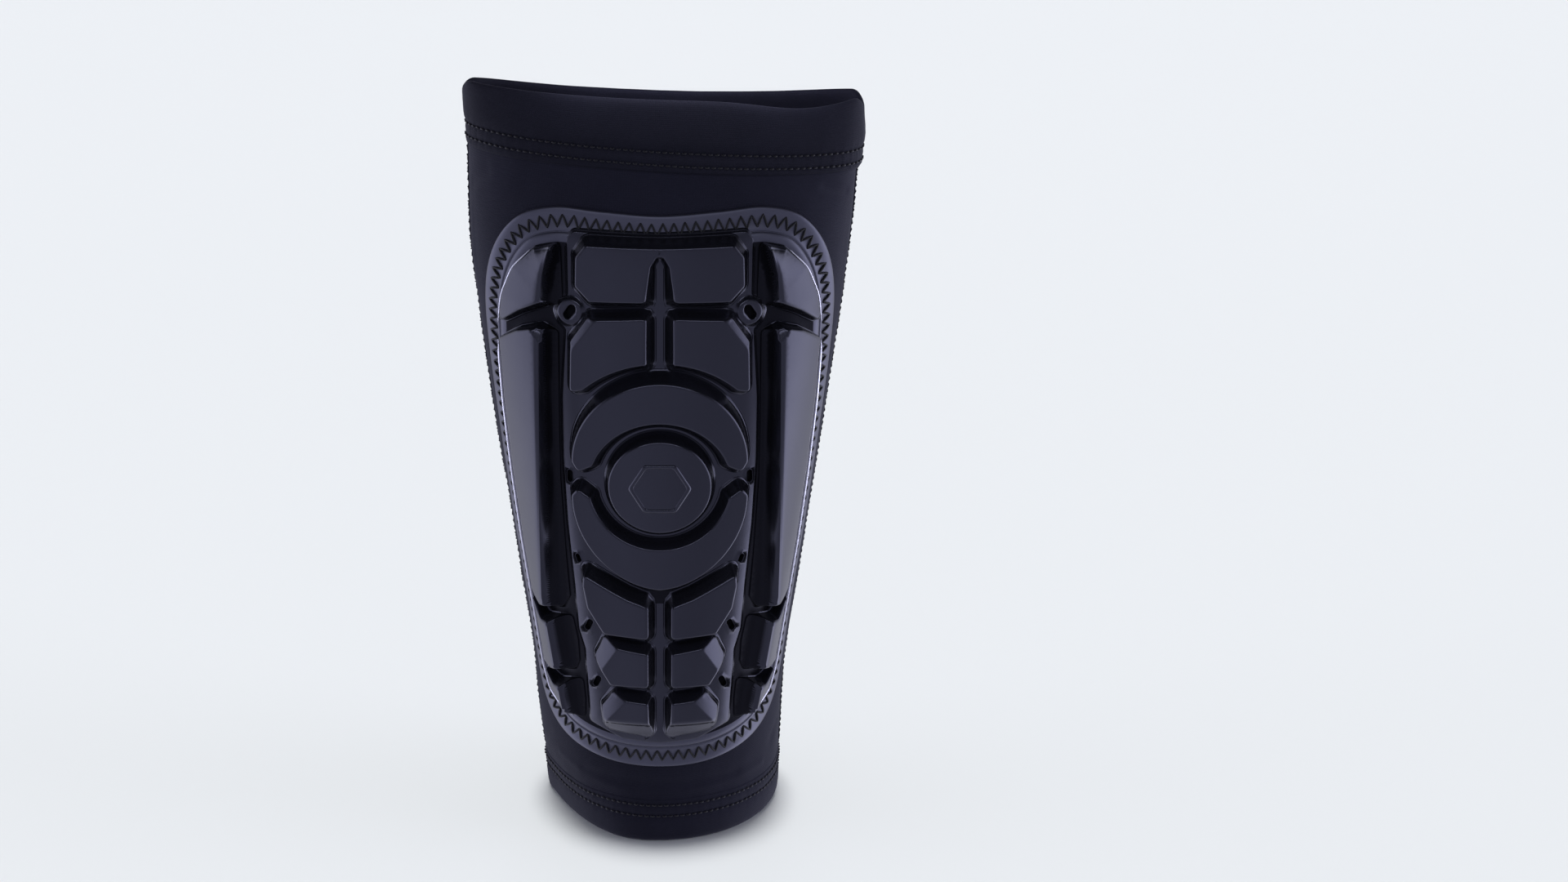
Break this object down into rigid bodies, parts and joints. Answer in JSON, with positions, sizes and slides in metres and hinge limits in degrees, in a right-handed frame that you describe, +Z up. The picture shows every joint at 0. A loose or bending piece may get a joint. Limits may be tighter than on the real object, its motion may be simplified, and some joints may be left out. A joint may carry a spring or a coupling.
{
  "type": "shin guard",
  "caption": "Pull-on shin guard: a stretch-knit leg sleeve with a sewn-on moulded pad of foam blocks, a folded cuff at the top and a folded hem at the ankle.",
  "frame": {"origin": "middle of the guard's footprint, at the lower face of the bottom hem", "axes": "+Z up the leg from the ankle hem to the top cuff; the pad faces -Y; +X to the right of someone who looks at the pad"},
  "size_m": [0.1398, 0.0901, 0.27],
  "materials": {
    "sleeve_knit": "fine matte navy-black compression knit with a faint sheen",
    "sewing_thread": "black polyester thread",
    "elastic": "matte woven elastic",
    "backing_cloth": "black lining cloth",
    "moulded_cover": "satin charcoal-black moulded elastomer film",
    "impact_foam": "dense soft foam, closed cell"
  },
  "bodies": {
    "root": {"sleeve_front_panel": "sleeve_knit", "sleeve_back_panel": "sleeve_knit", "top_cuff": "sleeve_knit", "bottom_hem": "sleeve_knit", "left_side_seam": "sleeve_knit", "right_side_seam": "sleeve_knit", "top_cuff_stitch_upper": "sewing_thread", "top_cuff_stitch_lower": "sewing_thread", "bottom_hem_stitch_upper": "sewing_thread", "bottom_hem_stitch_lower": "sewing_thread", "zigzag_stitch": "sewing_thread", "top_cuff_elastic": "elastic", "pad_backing": "backing_cloth", "moulded_cover": "moulded_cover", "row_1_right_foam": "impact_foam", "row_1_left_foam": "impact_foam", "row_2_right_foam": "impact_foam", "row_2_left_foam": "impact_foam", "row_3_right_foam": "impact_foam", "row_3_left_foam": "impact_foam", "row_4_right_foam": "impact_foam", "row_4_left_foam": "impact_foam", "row_5_right_foam": "impact_foam", "row_5_left_foam": "impact_foam", "wing_1_right_foam": "impact_foam", "wing_1_left_foam": "impact_foam", "wing_2_right_foam": "impact_foam", "wing_2_left_foam": "impact_foam", "wing_3_right_foam": "impact_foam", "wing_3_left_foam": "impact_foam", "wing_4_right_foam": "impact_foam", "wing_4_left_foam": "impact_foam", "upper_crescent_foam": "impact_foam", "centre_disc_foam": "impact_foam", "lower_crescent_foam": "impact_foam"}
  },
  "joints": []
}
